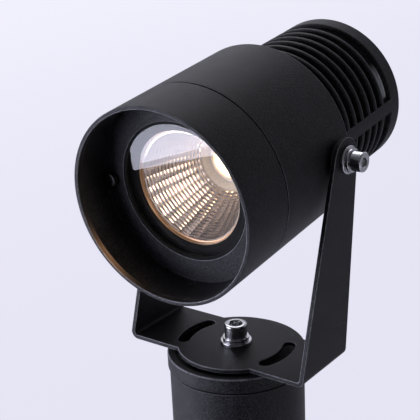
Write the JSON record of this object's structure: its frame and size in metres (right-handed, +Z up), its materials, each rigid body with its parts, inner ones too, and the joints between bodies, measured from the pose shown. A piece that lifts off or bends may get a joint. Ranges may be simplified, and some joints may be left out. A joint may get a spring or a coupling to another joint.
{
  "type": "garden post light",
  "caption": "Round post on a ground flange with a cap, a swivelling sheet-metal yoke and a tilting spot head with cowl, glass, reflector, lamp and finned housing.",
  "frame": {"origin": "middle of the ground flange's underside, on the post's axis", "axes": "+Z up along the post; the head aims towards -Y at rest; X along the tilt axis"},
  "size_m": [0.11, 0.1573, 0.4497],
  "materials": {
    "coated_aluminium": "fine textured anthracite powder coat",
    "coated_steel": "fine textured anthracite powder coat",
    "stainless": "bright stainless",
    "black_steel": "blackened",
    "zinc_steel": "zinc plated",
    "black_rubber": "matte",
    "grey_rubber": "matte",
    "black_nylon": "matte",
    "clear_glass": "clear",
    "bright_aluminium": "bright facets",
    "white_plastic": "matte",
    "phosphor": "warm white lamp",
    "lamp_plate": "white coated",
    "wire": "insulated wire",
    "circuit": "solder mask",
    "bare_aluminium": "bare"
  },
  "bodies": {
    "post": {"base_flange": "coated_aluminium", "base_set_screws": "black_steel", "base_grommet": "black_rubber", "post_tube": "coated_aluminium", "lead_in_bush": "black_rubber", "terminal_bracket": "zinc_steel", "terminal_bracket_screws": "zinc_steel", "terminal_block": "white_plastic", "post_cap": "coated_aluminium", "cap_set_screws": "black_steel", "swivel_friction_washer": "black_nylon", "swivel_flat_washer": "stainless", "swivel_spring_washer": "stainless", "swivel_screw": "stainless"},
    "yoke": {"yoke_bracket": "coated_steel"},
    "head": {"cowl_gasket": "black_rubber", "cowl_screws": "black_steel", "driver_board": "circuit", "driver_capacitors": "bare_aluminium", "driver_case": "black_nylon", "driver_transformer": "circuit", "front_cowl": "coated_aluminium", "front_glass": "clear_glass", "gland_body": "black_nylon", "gland_lock_nut": "black_nylon", "gland_nut": "black_nylon", "gland_seal": "black_rubber", "glass_gasket": "black_rubber", "glass_seal": "black_rubber", "head_housing": "coated_aluminium", "led_board": "lamp_plate", "led_emitter": "phosphor", "led_holder": "white_plastic", "led_holder_screws": "zinc_steel", "led_leads": "wire", "pivot_flat_washers": "stainless", "pivot_screws": "stainless", "pivot_spacers": "black_nylon", "pivot_spring_washers": "stainless", "rear_cover": "coated_aluminium", "rear_cover_screws": "stainless", "rear_gasket": "black_rubber", "reflector": "bright_aluminium", "thermal_pad": "grey_rubber"}
  },
  "joints": [
    {"name": "yoke_pan", "type": "hinge", "parent": "post", "child": "yoke", "pos_m": [0, 0, 0.32], "axis": [0, 0, 1], "range_deg": [-175, 175]},
    {"name": "head_tilt", "type": "hinge", "parent": "yoke", "child": "head", "pos_m": [0, 0.0184, 0.4065], "axis": [-1, 0, 0], "range_deg": [-30, 75]}
  ]
}
